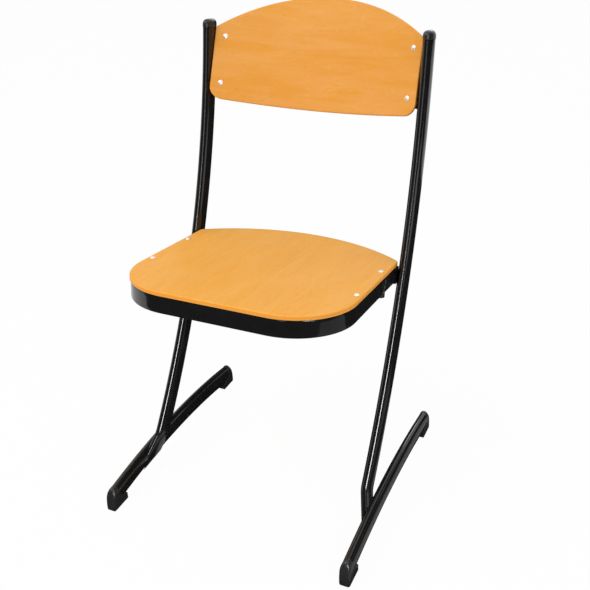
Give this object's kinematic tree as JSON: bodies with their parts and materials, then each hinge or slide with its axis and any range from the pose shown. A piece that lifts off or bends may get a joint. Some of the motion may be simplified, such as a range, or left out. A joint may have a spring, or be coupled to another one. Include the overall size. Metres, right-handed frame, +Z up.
{
  "type": "choir chair",
  "caption": "Stacking choir chair: bent oval-tube uprights on arched foot rails carry a plywood seat and a curved plywood backrest.",
  "frame": {"origin": "middle of the part's bounding box, on the floor", "axes": "+X to the sitter's left, +Y to the back of the chair, +Z up"},
  "size_m": [0.476, 0.5328, 0.8394],
  "materials": {
    "frame_black": "gloss black powder coat",
    "plastic_black": "black moulded plastic with a soft sheen",
    "buffer_rubber": "matt black rubber",
    "seat_wood": "beech veneer, honey stain under satin lacquer, grain front to back",
    "back_wood": "beech veneer, honey stain under satin lacquer, grain across",
    "rivet_metal": "bright plated steel"
  },
  "bodies": {
    "root": {"left_upright": "frame_black", "right_upright": "frame_black", "left_upright_cap": "plastic_black", "right_upright_cap": "plastic_black", "left_foot_rail": "frame_black", "right_foot_rail": "frame_black", "left_front_glide": "plastic_black", "right_front_glide": "plastic_black", "left_rear_glide": "plastic_black", "right_rear_glide": "plastic_black", "seat_frame": "frame_black", "rear_cross_tube": "frame_black", "seat_panel": "seat_wood", "seat_rivets": "rivet_metal", "left_stack_buffer": "buffer_rubber", "right_stack_buffer": "buffer_rubber", "buffer_screws": "rivet_metal", "backrest_panel": "back_wood", "left_back_bracket": "frame_black", "right_back_bracket": "frame_black", "back_rivets": "rivet_metal", "back_washers": "rivet_metal"}
  },
  "joints": []
}
